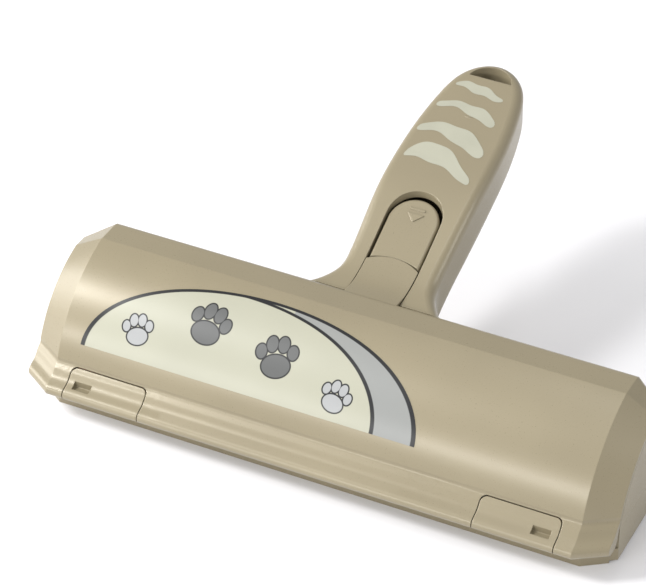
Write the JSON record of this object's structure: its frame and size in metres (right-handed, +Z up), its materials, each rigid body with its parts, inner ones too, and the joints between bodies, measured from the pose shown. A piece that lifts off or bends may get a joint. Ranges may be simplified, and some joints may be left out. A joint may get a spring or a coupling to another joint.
{
  "type": "lint roller",
  "caption": "Reusable lint roller: long head with a hinged dome lid over a swinging velvet drum, and a handle with a release button and a hang hole.",
  "frame": {"origin": "middle of the whole footprint, on the surface that the head's two rails stand on", "axes": "+Z up, X along the head, +Y from the front lip towards the handle's tip"},
  "size_m": [0.19, 0.1438, 0.067],
  "materials": {
    "beige_body": "moulded satin plastic with a fine pearl",
    "beige_lid": "moulded satin plastic with a fine pearl",
    "grey_plastic": "plain moulded plastic",
    "velvet": "short directional pile",
    "rubber": "soft silicone",
    "bush": "acetal",
    "steel": "bright wire and rod"
  },
  "bodies": {
    "body": {"base_frame": "beige_body", "rear_housing": "beige_body", "handle_underside": "beige_body", "end_cheek_left": "beige_body", "end_cheek_right": "beige_body", "hinge_block_left": "beige_body", "hinge_block_right": "beige_body", "hinge_pin_left": "steel", "hinge_pin_right": "steel", "bush_left": "bush", "bush_right": "bush", "lint_strip_front": "velvet", "lint_strip_rear": "velvet", "wiper_front": "rubber", "wiper_rear": "rubber", "base_screws": "steel", "handle_screws": "steel", "button_pin": "steel", "button_spring": "steel"},
    "lid": {"lid_cover": "beige_lid", "lid_latch": "grey_plastic"},
    "button": {"release_button": "beige_lid"},
    "drum": {"drum_shell": "grey_plastic", "drum_end_left": "grey_plastic", "drum_end_right": "grey_plastic", "axle_left": "steel", "axle_right": "steel", "velvet_pad_front": "velvet", "velvet_pad_rear": "velvet", "drum_blade": "rubber"}
  },
  "joints": [
    {"name": "lid_hinge", "type": "hinge", "parent": "body", "child": "lid", "pos_m": [0, -0.06765, 0.01], "axis": [1, 0, 0], "range_deg": [0, 95]},
    {"name": "button_press", "type": "hinge", "parent": "body", "child": "button", "pos_m": [0, -0.00265, 0.0401], "axis": [1, 0, 0], "range_deg": [-6, 0], "stiffness_Nm_per_rad": 0.35, "springref_deg": 1.72, "deforming": ["button_spring"]},
    {"name": "drum_swing", "type": "hinge", "parent": "body", "child": "drum", "pos_m": [0, -0.04415, 0.0148], "axis": [1, 0, 0], "range_deg": [-40, 40]}
  ]
}
